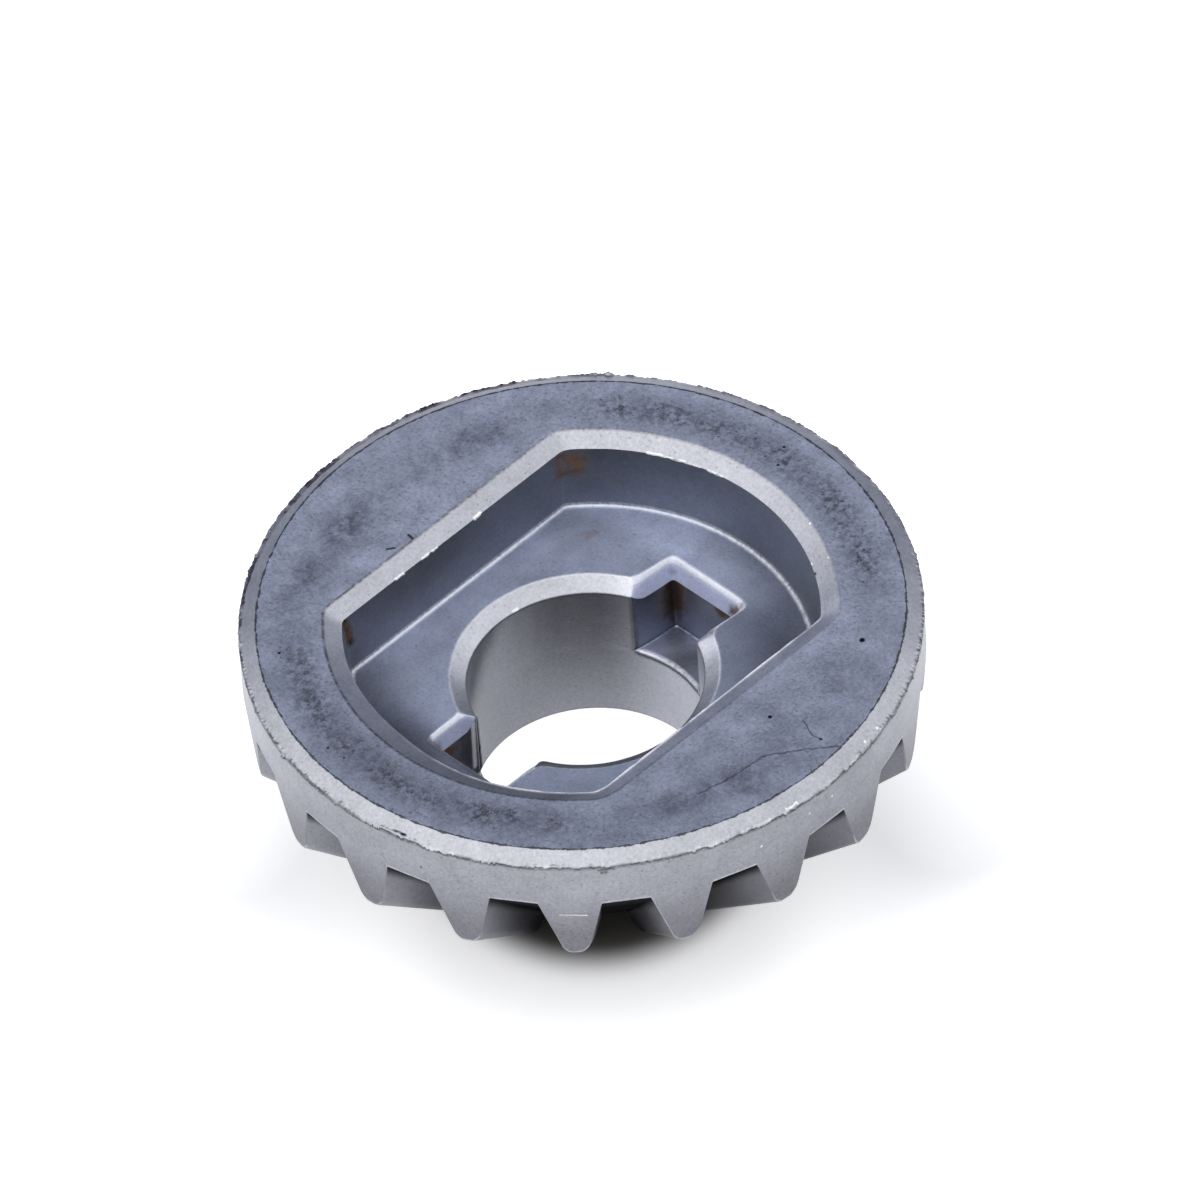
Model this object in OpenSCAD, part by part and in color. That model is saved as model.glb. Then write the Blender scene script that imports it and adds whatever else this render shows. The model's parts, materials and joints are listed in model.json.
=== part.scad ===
// One-piece straight bevel gear, lying on its tooth toes with the back face up.
// The origin is on the bore axis, in the plane that the toes rest on.
// X runs along the flats of the drive recess, and Z points out of the back face.

/* [Blank] */
// Diameter of the rim
outer_d = 46; // [43:0.5:50]
// Height from the tooth toes to the back face
gear_h = 18.8; // [17.8:0.1:20]
// Height of the plain rim, from the back face to the tooth roots
rim_h = 4.05; // [3:0.05:6]
// Width of the chamfer on the back face
rim_chamfer_w = 1.15; // [0.4:0.05:1.8]
// Depth of the chamfer on the back face
rim_chamfer_h = 0.55; // [0.3:0.05:1.2]
// Height of the hub face above the tooth toes
hub_rise = 0.8; // [0.3:0.1:2]

/* [Teeth] */
// Number of teeth
tooth_count = 19; // [16:1:24]
// Depth of the cone apex below the back face, where all tooth lines meet
apex_drop = 30.15; // [28:0.05:33]
// Height of a tooth at its outer end
tooth_h = 5.05; // [3:0.05:5.8]
// Width of a tooth across its root, at the outer end
tooth_root_w = 4.3; // [3.4:0.05:4.9]
// Width of a tooth across its tip before rounding, at the outer end
tooth_tip_w = 1.6; // [1.2:0.05:2.2]
// Sideways offset of the tip, because the two flanks slope unevenly
tip_lean = 0.23; // [-0.4:0.01:0.4]
// Turn of the teeth, in degrees, from one that stands square across the flats
tooth_turn = -1; // [-9:0.5:9]
// Radius on the edges of the tip
tip_round = 0.7; // [0.2:0.05:0.9]
// How far the outer ends of the teeth slope inwards
heel_taper = 0.45; // [0.1:0.05:1.2]
// Width of the flat that each tooth rests on
toe_flat = 0.35; // [0.1:0.05:0.8]

/* [Drive recess] */
// Depth of the recess floor below the back face
recess_depth = 5.55; // [3.5:0.05:7]
// Distance between the round walls, at the floor
recess_d = 31.1; // [28:0.1:33]
// Distance between the flat walls, at the floor
recess_flats = 23.5; // [21:0.1:25]
// Draft angle of the round walls
round_draft = 6; // [1:0.5:8]
// Draft angle of the flat walls
flat_draft = 3; // [1:0.5:6]
// Bevel where the walls meet the floor
floor_bevel = 0.35; // [0.1:0.05:0.8]
// Width of the chamfer round the mouth
mouth_chamfer_w = 1.25; // [0.4:0.05:1.8]
// Depth of the chamfer round the mouth
mouth_chamfer_h = 0.65; // [0.3:0.05:1.2]

/* [Bore] */
// Diameter of the bore
bore_d = 16; // [13:0.1:17.5]
// Width of the chamfer at the recess floor
bore_chamfer_w = 1.1; // [0.3:0.05:1.6]
// Depth of the chamfer at the recess floor
bore_chamfer_h = 0.75; // [0.3:0.05:1.2]
// Chamfer at the hub face
hub_chamfer = 0.55; // [0.2:0.05:1]

/* [Pin slots] */
// Distance between the end walls of the two slots
slot_l = 22.1; // [20:0.1:23.5]
// Width of the slots
slot_w = 5.9; // [4:0.1:8]
// Depth of the slot floors below the recess floor
slot_depth = 5.85; // [3:0.05:7]
// Width of the chamfer round the mouths of the slots
slot_chamfer_w = 0.65; // [0.2:0.05:1]
// Depth of the chamfer round the mouths of the slots
slot_chamfer_h = 1.2; // [0.3:0.05:1.8]

/* [Hidden] */
$fn = 120;
// Cuts run this far past the faces that they open
over = 1;
outer_r = outer_d / 2;
bore_r = bore_d / 2;
pitch_angle = 360 / tooth_count;
first_space = 90 + tooth_turn + pitch_angle / 2;

// Heights above the resting plane
root_z = gear_h - rim_h;
tip_z = root_z - tooth_h;
apex_z = gear_h - apex_drop;
floor_z = gear_h - recess_depth;
slot_z = floor_z - slot_depth;

// Slope of a line to the apex, as height gained per unit of radius
tip_r = outer_r - heel_taper;
tip_slope = (tip_z - apex_z) / tip_r;
root_slope = (root_z - apex_z) / outer_r;
toe_r = -apex_z / tip_slope;

// Walls of the recess at the floor and at the foot of the mouth chamfer
wall_h = recess_depth - mouth_chamfer_h;
round_lean = wall_h * tan(round_draft);
flat_lean = wall_h * tan(flat_draft);
recess_r = recess_d / 2;
recess_half = recess_flats / 2;

// Points of an arc of radius r that rounds the corner b between a and c
function round_corner(a, b, c, r, steps = 5) =
  let (
    to_a = (a - b) / norm(a - b),
    to_c = (c - b) / norm(c - b),
    half = acos(to_a * to_c) / 2,
    inward = (to_a + to_c) / norm(to_a + to_c),
    middle = b + inward * r / sin(half),
    start = b + to_a * r / tan(half) - middle,
    finish = b + to_c * r / tan(half) - middle
  )
  [
    for (i = [0 : steps])
      let (mix = start * (1 - i / steps) + finish * i / steps)
      middle + mix / norm(mix) * r
  ];

// One side of a tooth space, from its root out past the tip of the next tooth.
// Sizes are taken in the plane that touches the rim, as heights above the apex.
function space_side(lean) =
  let (
    tooth_mid = pitch_angle / 2,
    root_angle = tooth_mid - asin(tooth_root_w / 2 / outer_r),
    tip_angle = tooth_mid - asin((tooth_tip_w / 2 - lean) / tip_r),
    root = [outer_r * tan(root_angle), outer_r * root_slope],
    tip = [outer_r * tan(tip_angle), outer_r * tip_slope / cos(tip_angle)],
    // The rounding leaves the tip at a slight angle, and the rest of the tip stays conical
    leave = [cos(-12), sin(-12)] * tooth_tip_w / 2,
    outside = [tip[0] + leave[0], 0.4 * outer_r]
  )
  concat([root], round_corner(root, tip, tip + leave, tip_round), [tip + leave, outside]);

function mirrored(points) = [for (i = [len(points) - 1 : -1 : 0]) [-points[i][0], points[i][1]]];

// Solid of the blank, with the tip cone, the sloping tooth ends and the hub face
module blank() {
  toe_in = toe_r - toe_flat;
  rotate_extrude()
    polygon([
      [0, hub_rise],
      [toe_in - hub_rise, hub_rise],
      [toe_in, 0],
      [toe_r, 0],
      [tip_r, tip_z],
      [outer_r, root_z],
      [outer_r, gear_h - rim_chamfer_h],
      [outer_r - rim_chamfer_w, gear_h],
      [0, gear_h]
    ]);
}

// Space between two teeth, which narrows towards the cone apex and runs out below the hub
module tooth_space() {
  start_r = outer_r + over;
  outline = concat(space_side(-tip_lean), mirrored(space_side(tip_lean)));
  translate([start_r, 0, apex_z])
    rotate([90, 0, -90])
      linear_extrude(height = start_r - bore_r, scale = bore_r / start_r)
        polygon(outline * start_r / outer_r);
}

// Slab along X whose two side walls lean, from half_low at z = 0 to half_high at z = h
module leaning_slab(h, half_low, half_high, length) {
  rotate([90, 0, 90])
    linear_extrude(height = length, center = true)
      polygon([[-half_low, 0], [half_low, 0], [half_high, h], [-half_high, h]]);
}

// Round plug with two flats, over the height h, from r_low and half_low to r_high and half_high
module double_d(h, r_low, half_low, r_high, half_high) {
  intersection() {
    cylinder(h = h, r1 = r_low, r2 = r_high);
    leaning_slab(h, half_low, half_high, 4 * r_high);
  }
}

// Drive recess: bevelled floor edge, drafted walls and chamfered mouth
module recess() {
  mouth_grow = mouth_chamfer_w * (mouth_chamfer_h + over) / mouth_chamfer_h;
  mouth_r = recess_r + round_lean;
  mouth_half = recess_half + flat_lean;
  translate([0, 0, floor_z])
    double_d(floor_bevel, recess_r - floor_bevel, recess_half - floor_bevel, recess_r, recess_half);
  translate([0, 0, floor_z + floor_bevel])
    double_d(wall_h - floor_bevel, recess_r, recess_half, mouth_r, mouth_half);
  translate([0, 0, floor_z + wall_h])
    double_d(mouth_chamfer_h + over, mouth_r, mouth_half, mouth_r + mouth_grow, mouth_half + mouth_grow);
}

// Bore with a chamfer at each end
module bore() {
  chamfer_grow = bore_chamfer_w * (bore_chamfer_h + over) / bore_chamfer_h;
  cylinder(h = gear_h, r = bore_r);
  translate([0, 0, floor_z - bore_chamfer_h])
    cylinder(h = bore_chamfer_h + over, r1 = bore_r, r2 = bore_r + chamfer_grow);
  translate([0, 0, hub_rise - over])
    cylinder(h = hub_chamfer + over, r1 = bore_r + hub_chamfer + over, r2 = bore_r);
}

// Two blind slots in line across the bore, cut as one
module pin_slots() {
  mouth_h = slot_chamfer_h + over;
  mouth_grow = slot_chamfer_w * mouth_h / slot_chamfer_h;
  translate([0, 0, slot_z + slot_depth / 2 + over / 2])
    cube([slot_l, slot_w, slot_depth + over], center = true);
  translate([0, 0, floor_z - slot_chamfer_h])
    intersection() {
      leaning_slab(mouth_h, slot_w / 2, slot_w / 2 + mouth_grow, 2 * slot_l);
      rotate(90) leaning_slab(mouth_h, slot_l / 2, slot_l / 2 + mouth_grow, 2 * slot_l);
    }
}

module bevel_gear() {
  color([0.5, 0.53, 0.58])
    difference() {
      blank();
      for (i = [0 : tooth_count - 1])
        rotate(first_space + i * pitch_angle) tooth_space();
      recess();
      bore();
      pin_slots();
    }
}

bevel_gear();
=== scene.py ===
import json
import math
import bpy
import bmesh
import numpy as np
from mathutils import Matrix, Vector


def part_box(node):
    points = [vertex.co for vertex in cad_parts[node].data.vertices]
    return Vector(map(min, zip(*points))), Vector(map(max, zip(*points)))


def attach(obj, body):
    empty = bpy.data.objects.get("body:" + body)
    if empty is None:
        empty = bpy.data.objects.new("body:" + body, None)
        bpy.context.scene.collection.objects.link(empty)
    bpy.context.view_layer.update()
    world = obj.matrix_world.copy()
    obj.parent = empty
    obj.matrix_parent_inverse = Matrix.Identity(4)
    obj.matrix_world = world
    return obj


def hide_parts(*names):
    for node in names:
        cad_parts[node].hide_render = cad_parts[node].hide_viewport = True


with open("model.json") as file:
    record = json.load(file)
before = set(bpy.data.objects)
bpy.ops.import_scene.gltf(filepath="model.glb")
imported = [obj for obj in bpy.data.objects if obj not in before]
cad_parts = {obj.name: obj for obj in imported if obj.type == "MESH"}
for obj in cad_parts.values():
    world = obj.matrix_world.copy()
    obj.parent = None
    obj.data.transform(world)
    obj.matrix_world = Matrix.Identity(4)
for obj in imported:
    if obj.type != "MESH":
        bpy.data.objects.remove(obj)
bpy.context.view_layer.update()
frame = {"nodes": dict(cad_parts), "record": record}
print("frame:", sorted(frame["nodes"]))

mm = 0.001
nodeName = "bevel_gear"
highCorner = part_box(nodeName)[1]
boreMount = next(m for m in frame["record"]["mounts"] if m["name"] == "bore")


def addObject(name, data):
    made = bpy.data.objects.new(name, data)
    bpy.context.scene.collection.objects.link(made)
    return made


# Sizes in millimetres, as the solid has them but for the notes, and how worn and uneven the edges are
gear = {
    "outer": highCorner.x / mm,
    "height": highCorner.z / mm,
    "bore": boreMount["dims"]["r_mm"],
    "teeth": 19,
    "toothTurn": -1.0,
    "rimHeight": 4.05,
    "rimChamfer": (1.15, 0.55),
    "hubRise": 0.8,
    "hubChamfer": 0.55,
    "apexDrop": 30.15,
    "toothHeight": 5.05,
    "toothRoot": 4.3,
    "toothTip": 1.6,
    "tipLean": 0.23,
    "tipRound": (1.5, 0.9),  # on the two sides of a tooth, worn a little rounder than in the solid
    "tipCrown": 0.13,  # the tips are a little domed
    "tipSlant": -12.0,  # the rounding leaves the tip at this slight angle
    "heelTaper": 0.45,
    "toeFlat": 0.35,
    "recessDepth": 5.55,
    "recessRound": 31.1 / 2,
    "recessFlat": 23.5 / 2,
    "roundDraft": 6.0,
    "flatDraft": 3.0,
    "mouthChamfer": (1.25, 0.65),
    "boreChamfer": (1.1, 0.75),
    "slotEnd": 22.1 / 2,
    "slotHalf": 5.9 / 2,
    "slotDepth": 5.85,
    "slotChamfer": (0.65, 1.4),  # a little deeper than in the solid
    "slotShoulder": (0.37, 0.28),  # where the rounded slot mouth turns from flat to steep
    "slotShift": -0.48,  # the end of the slot on the +X side stands a little off the middle
    "slotSector": 35.0,  # degrees of mesh columns on each side of a slot's middle
    "cornerPasses": (3, 5, 9),  # smoothing passes on the recess: floor, head of the wall and mouth
    "slotPasses": (10, 20, 34),  # and on the slots: walls, shoulder and mouth
    "recessShift": -0.32,  # the wall's foot on the -X side stands a little further out
    "mouthSwell": (172.0, 18.0, 0.36),  # where its head stands inwards: polar angle, spread, how far
    "mouthRidge": (0.11, 0.02, 0.13),  # burr on the mouth's inner edge: height, its unevenness, width
    "ridgeSeed": 21,
    "ridgeSide": (250.0, 0.15),  # polar angle where it stands highest, and the share left across from there
    "mouthLine": (140.0, 0.65, 0.35),  # dirt on the mouth's outer edge: angle of the most, mean, change
    "heelSoft": (0.26, 0.16, 0.13),  # rounding of a tooth's outer end: its two sides and its tip
    "heelWearSheen": 0.15,  # wear and painted sheen of those sides, where the tip has 1
    "brightEdge": (236.0, 9.0),  # polar angle and reach of the one tooth edge that is rubbed bright, with painted sheen
    "bendShare": 0.4,  # a rounding takes no more than this share of the strips beside it
    "wearFall": 0.6,  # how far the wear of an edge falls towards its sides
    "guard": 0.07,  # rows this near an edge keep its wear to a narrow line
    "lipInset": 0.3,  # the rim edge is a finer mesh, from this far in on the chamfer
    "lipDrop": 0.5,  # to this far down the rim
    "sharpAngle": 32.0,  # faces that meet at more degrees than this keep a sharp edge
}

pitchAngle = 360.0 / gear["teeth"]
rootZ = gear["height"] - gear["rimHeight"]
tipZ = rootZ - gear["toothHeight"]
apexZ = gear["height"] - gear["apexDrop"]
floorZ = gear["height"] - gear["recessDepth"]
slotZ = floorZ - gear["slotDepth"]
edgeZ = gear["height"] - gear["rimChamfer"][1]
chamferSlope = gear["rimChamfer"][1] / gear["rimChamfer"][0]
tipR = gear["outer"] - gear["heelTaper"]
tipSlope = (tipZ - apexZ) / tipR
rootSlope = (rootZ - apexZ) / gear["outer"]


def roundedCorner(a, b, c, radius, count):
    toA = (a - b) / np.linalg.norm(a - b)
    toC = (c - b) / np.linalg.norm(c - b)
    half = math.acos(float(toA @ toC)) / 2
    inward = (toA + toC) / np.linalg.norm(toA + toC)
    middle = b + inward * radius / math.sin(half)
    start = b + toA * radius / math.tan(half) - middle
    finish = b + toC * radius / math.tan(half) - middle
    mixes = [start * (1 - s) + finish * s for s in np.linspace(0, 1, count)]
    return [middle + m / np.linalg.norm(m) * radius for m in mixes]


# Half of a tooth space from its middle to the next tooth's middle: angles and slopes to the apex
def spaceSide(lean, tipRound):
    outer = gear["outer"]
    toothMid = pitchAngle / 2
    rootAngle = math.radians(toothMid) - math.asin(gear["toothRoot"] / 2 / outer)
    tipAngle = math.radians(toothMid) - math.asin((gear["toothTip"] / 2 - lean) / tipR)
    root = np.array([outer * math.tan(rootAngle), outer * rootSlope])
    tip = np.array([outer * math.tan(tipAngle), outer * tipSlope / math.cos(tipAngle)])
    slant = math.radians(gear["tipSlant"])
    leave = tip + np.array([math.cos(slant), math.sin(slant)]) * gear["toothTip"] / 2
    arc = roundedCorner(root, tip, leave, tipRound, 7)
    points = [root * np.array([s, 1]) for s in (0.0, 0.3, 0.6, 0.85)]
    points += [root + (arc[0] - root) * s for s in (0, 0.07, 0.22, 0.4, 0.6, 0.8)]
    points += arc
    angles = np.degrees([math.atan2(p[0], outer) for p in points])
    slopes = np.array([p[1] * math.cos(math.radians(a)) / outer for p, a in zip(points, angles)])
    crownSlope = tipSlope - gear["tipCrown"] / outer
    keep = slopes > crownSlope
    land = np.array([0.3, 0.65, 1.0])
    landAngles = angles[keep][-1] + (toothMid - angles[keep][-1]) * land
    landSlopes = slopes[keep][-1] + (crownSlope - slopes[keep][-1]) * np.sqrt(land)
    return np.append(angles[keep], landAngles), np.append(slopes[keep], landSlopes)


# Mesh columns run round the gear and lie along the lines of the teeth
def toothColumns():
    lowAngles, lowSlopes = spaceSide(-gear["tipLean"], gear["tipRound"][0])
    highAngles, highSlopes = spaceSide(gear["tipLean"], gear["tipRound"][1])
    stepAngles = np.concatenate([-lowAngles[::-1], highAngles[1:-1]])
    stepSlopes = np.concatenate([lowSlopes[::-1], highSlopes[1:-1]])
    first = 90 + gear["toothTurn"] + pitchAngle / 2
    angles = np.concatenate([first + i * pitchAngle + stepAngles for i in range(gear["teeth"])])
    slopes = np.tile(stepSlopes, gear["teeth"])
    order = np.argsort(np.mod(angles, 360))
    return np.mod(angles, 360)[order], slopes[order]


columnAngles, columnSlopes = toothColumns()
columnCos = np.cos(np.radians(columnAngles))
columnSin = np.sin(np.radians(columnAngles))
columnCount = len(columnAngles)


def soften(outline, passes):
    for _ in range(passes):
        outline = (np.roll(outline, 1, 0) + 2 * outline + np.roll(outline, -1, 0)) / 4
    return outline


def lift(outline, heights):
    return np.column_stack([outline, np.broadcast_to(heights, columnCount)])


def ring(radius, heights):
    return lift(np.column_stack([columnCos * radius, columnSin * radius]), heights)


# Outline with two flats
def recessOutline(radius, half, passes):
    reach = np.minimum(radius, half / np.maximum(np.abs(columnSin), 1e-6))
    return soften(np.column_stack([columnCos * reach, columnSin * reach]), passes)


# Share of each column along a slot (0 to 1), and whether it lies on a slot at all
sector = gear["slotSector"]
turned = np.mod(columnAngles + 90, 180) - 90
onSlot = np.abs(turned) <= sector
slotShare = np.clip((turned + sector) / (2 * sector), 0, 1)
arcShare = np.clip((np.mod(columnAngles, 180) - sector) / (180 - 2 * sector), 0, 1)
slotSide = np.where(columnCos >= 0, 1.0, -1.0)
arcSide = np.where(columnSin >= 0, 1.0, -1.0)


# Circle with a slot on each side, spread evenly over the columns
def slotOutline(radius, half, end, passes):
    cornerAngle = math.degrees(math.asin(half / radius))
    cornerX = radius * math.cos(math.radians(cornerAngle))
    path = np.array([[cornerX, -half], [end, -half], [end, half], [cornerX, half]])
    lengths = np.concatenate([[0], np.cumsum(np.linalg.norm(np.diff(path, axis=0), axis=1))])
    slotX = np.interp(slotShare * lengths[-1], lengths, path[:, 0])
    slotY = np.interp(slotShare * lengths[-1], lengths, path[:, 1])
    arcAngle = np.radians(cornerAngle + arcShare * (180 - 2 * cornerAngle))
    x = np.where(onSlot, slotX * slotSide, radius * np.cos(arcAngle) * arcSide)
    y = np.where(onSlot, slotY * slotSide, radius * np.sin(arcAngle) * arcSide)
    y = y + gear["slotShift"] * np.clip((x - cornerX) / (end - cornerX), 0, 1) ** 0.6
    return soften(np.column_stack([x, y]), passes)


# Circle whose columns keep to those of the slots above it
def boreOutline(radius, cornerAngle):
    arcAngle = np.radians(cornerAngle + arcShare * (180 - 2 * cornerAngle))
    slotAngle = np.radians((slotShare * 2 - 1) * cornerAngle)
    x = np.where(onSlot, np.cos(slotAngle) * slotSide, np.cos(arcAngle) * arcSide)
    y = np.where(onSlot, np.sin(slotAngle) * slotSide, np.sin(arcAngle) * arcSide)
    return np.column_stack([x, y]) * radius


# Ragged noise round the gear, repeatable
def ragged(angles, seed, waves, fall):
    draw = np.random.default_rng(seed)
    total = np.zeros(len(angles))
    for wave in waves:
        total += np.sin(angles * wave + draw.uniform(0, 2 * math.pi)) / wave ** fall
    return total / total.std()


# 1 at a polar angle, and less to both sides of it
def bulge(angles, polar, spread):
    return np.exp(-((np.mod(angles - polar + 180, 360) - 180) / spread) ** 2)


# One line of the gear's section: where it runs, how it is rounded, the finish of the strip after it, and its
# wear with painted sheen, or below zero its grime
def key(points, setback, bend, cuts, finish, wear=1.0, elsewhere=None):
    return {"points": points, "setback": np.broadcast_to(setback, columnCount), "bend": bend, "cuts": cuts,
            "finish": finish, "elsewhere": elsewhere or finish, "wear": np.broadcast_to(wear, columnCount)}


def gearRows():
    outer, height, bore = gear["outer"], gear["height"], gear["bore"]
    mouthW, mouthH = gear["mouthChamfer"]
    boreW, boreH = gear["boreChamfer"]
    slotW, slotH = gear["slotChamfer"]
    shoulderW, shoulderH = gear["slotShoulder"]
    half, end = gear["slotHalf"], gear["slotEnd"]
    wallPasses, shoulderPasses, mouthPasses = gear["slotPasses"]
    wallH = gear["recessDepth"] - mouthH
    headR = gear["recessRound"] + wallH * math.tan(math.radians(gear["roundDraft"]))
    headFlat = gear["recessFlat"] + wallH * math.tan(math.radians(gear["flatDraft"]))
    cornerAngle = math.degrees(math.asin(half / bore))
    circle = boreOutline(bore, cornerAngle)
    slots = slotOutline(bore, half, end, wallPasses)
    shoulderR = bore + boreW * (1 - shoulderH / boreH)
    shoulders = slotOutline(shoulderR, half + shoulderW, end + shoulderW, shoulderPasses)
    mouths = slotOutline(bore + boreW, half + slotW, end + slotW, mouthPasses)

    # On the plain bore wall the slot rows spread out up the wall
    away = np.where(onSlot, 0.0, np.clip(np.minimum(arcShare, 1 - arcShare) * 12, 0, 1))
    spread = 0.3 * away
    lipZ = slotZ - spread
    slotFootZ = slotZ + spread
    inSlot = np.where(onSlot, np.clip(np.minimum(slotShare, 1 - slotShare) * 14, 0, 1), 0.0)
    slotHeadZ = floorZ - boreH - (slotH - boreH) * inSlot

    # Outer ends of the teeth, along each column
    taper = gear["heelTaper"] / gear["toothHeight"]
    heelR = (outer - taper * (rootZ - apexZ)) / (1 - taper * columnSlopes)
    heelZ = apexZ + columnSlopes * heelR
    heelR = np.where(heelZ >= rootZ, outer, heelR)
    heelZ = np.where(heelZ >= rootZ, apexZ + columnSlopes * outer, heelZ)
    rimFootZ = np.maximum(rootZ, heelZ + 0.5)
    onFlank = (heelZ < rootZ - 0.25) & (heelZ > tipZ + 0.7)
    brightPolar, brightReach = gear["brightEdge"]
    fromSpace = np.mod(columnAngles - 90 - gear["toothTurn"], pitchAngle) - pitchAngle / 2
    isBright = (fromSpace > 0) & (np.abs(columnAngles - brightPolar) < brightReach)
    lowSoft, highSoft, tipSoft = gear["heelSoft"]
    heelSoft = np.where(onFlank, np.where(fromSpace < 0, lowSoft, highSoft), tipSoft)
    heelWearSheen = np.where(onFlank & ~isBright, gear["heelWearSheen"], 1.0)

    # Inner ends of the teeth: the resting flat, the toe cone or the hub face
    toeOut = -apexZ / tipSlope
    toeIn = toeOut - gear["toeFlat"]
    hubR = toeIn - gear["hubRise"]
    flatR = -apexZ / columnSlopes
    coneR = (toeIn - apexZ) / (1 + columnSlopes)
    faceR = (gear["hubRise"] - apexZ) / columnSlopes
    onFlat = flatR >= toeIn
    onCone = ~onFlat & (coneR > hubR)
    toeR = np.where(onFlat, flatR, np.where(onCone, coneR, faceR))
    toeZ = np.where(onFlat, 0.0, np.where(onCone, toeIn - coneR, gear["hubRise"]))
    backR = np.where(onFlat, toeIn, np.where(onCone, (coneR + hubR) / 2, faceR - 0.15))
    backZ = np.where(onFlat, 0.0, np.where(onCone, toeIn - backR, gear["hubRise"]))
    faceStart = np.minimum(hubR, faceR - 0.3)

    slotOnly = onSlot.astype(float)
    hubRing = boreOutline(bore + gear["hubChamfer"], cornerAngle)
    footPasses, headPasses, rimPasses = gear["cornerPasses"]
    recessFoot = recessOutline(gear["recessRound"], gear["recessFlat"], footPasses)
    recessFoot[:, 0] += gear["recessShift"] * np.clip(-columnCos, 0, 1)
    recessHead = recessOutline(headR, headFlat, headPasses)
    recessMouth = recessOutline(headR + mouthW, headFlat + mouthW, rimPasses)
    ridgeH, ridgeUneven, ridgeW = gear["mouthRidge"]
    ridgeFoot = recessOutline(headR + ridgeW, headFlat + ridgeW, headPasses)
    swellPolar, swellSpread, swell = gear["mouthSwell"]
    inwards = swell * bulge(columnAngles, swellPolar, swellSpread)
    for outline in (recessHead, ridgeFoot):
        outline *= (1 - inwards / np.linalg.norm(outline, axis=1))[:, None]
    ridgePolar, ridgeLeft = gear["ridgeSide"]
    ridgeShare = np.clip(-0.1 + 1.5 * np.cos(np.radians(columnAngles - ridgePolar)), ridgeLeft, 1)
    ridgeRagged = ragged(np.radians(columnAngles), gear["ridgeSeed"], range(8, 90, 5), 0.4)
    ridgeZ = height - mouthH + ridgeShare * (ridgeH + ridgeUneven * ridgeRagged)
    ridgeFootZ = height - mouthH + ridgeW * mouthH / mouthW
    linePolar, lineMean, lineChange = gear["mouthLine"]
    mouthLine = -lineMean - lineChange * np.cos(np.radians(columnAngles - linePolar))
    inset = gear["lipInset"]
    return [
        key(ring(outer, edgeZ - gear["lipDrop"]), 0.0, 1, 2, "rimSkin", 0.0),
        key(ring(outer, rimFootZ), 0.05, 2, 2, "rimSkin", 0.0),
        key(ring(heelR, heelZ), heelSoft, 4, 5, "toothSkin", heelWearSheen),
        key(ring(toeR, toeZ), 0.1, 3, 1, "toothSkin"),
        key(ring(backR, backZ), 0.06, 3, 2, "hubSkin"),
        key(ring(faceStart, gear["hubRise"]), 0.08, 3, 2, "hubSkin"),
        key(lift(hubRing, gear["hubRise"]), 0.08, 3, 1, "hubSkin"),
        key(lift(circle, gear["hubRise"] + gear["hubChamfer"]), 0.08, 3, 3, "bore", -1.0),
        key(lift(circle, lipZ), np.where(onSlot, 0.42, 0.05), 5, 2, "slotFloor", slotOnly, "bore"),
        key(lift(slots, slotFootZ), np.where(onSlot, 0.22, 0.05), 4, 3, "slotWall", -slotOnly, "bore"),
        key(lift(slots, slotHeadZ), 0.09, 3, 2, "slotBevel", 0.5, "boreChamfer"),
        key(lift(shoulders, floorZ - shoulderH), np.where(onSlot, 0.2, 0.03), 3, 1, "slotMouth",
            0.6 * slotOnly, "boreChamfer"),
        key(lift(mouths, floorZ), np.where(onSlot, 0.2, 0.1), 4, 4, "recessFloor",
            np.where(mouths[:, 0] < -end, -0.6, 0.6)),
        key(lift(recessFoot, floorZ), 0.27, 6, 3, "recessWall"),
        # The burr's worn crest carries a painted highlight, most where the burr stands highest
        key(lift(recessHead, ridgeZ), 0.04, 3, 0, "mouthChamfer", 0.3 + 0.7 * ridgeShare),
        key(lift(ridgeFoot, ridgeFootZ), 0.05, 2, 1, "mouthChamfer", 0.7 * ridgeShare),
        key(lift(recessMouth, height), 0.1, 4, 4, "backFace", mouthLine),
        key(ring(outer - gear["rimChamfer"][0], height), 0.09, 4, 1, "rimChamfer", 0.0),
        key(ring(outer - inset, edgeZ + inset * chamferSlope), 0.0, 1, 0, "rimChamfer", 0.0),
    ]


# Corner of each column, rounded between the rows before and after it
def cornerStrip(before, corner, after, setback, count):
    toBefore = before - corner
    toAfter = after - corner
    beforeLength = np.maximum(np.linalg.norm(toBefore, axis=1), 1e-9)
    afterLength = np.maximum(np.linalg.norm(toAfter, axis=1), 1e-9)
    most = gear["bendShare"]
    a = corner + toBefore * (np.minimum(setback, most * beforeLength) / beforeLength)[:, None]
    c = corner + toAfter * (np.minimum(setback, most * afterLength) / afterLength)[:, None]
    return [a * (1 - s) ** 2 + corner * 2 * s * (1 - s) + c * s ** 2 for s in np.linspace(0, 1, count)]


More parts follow.
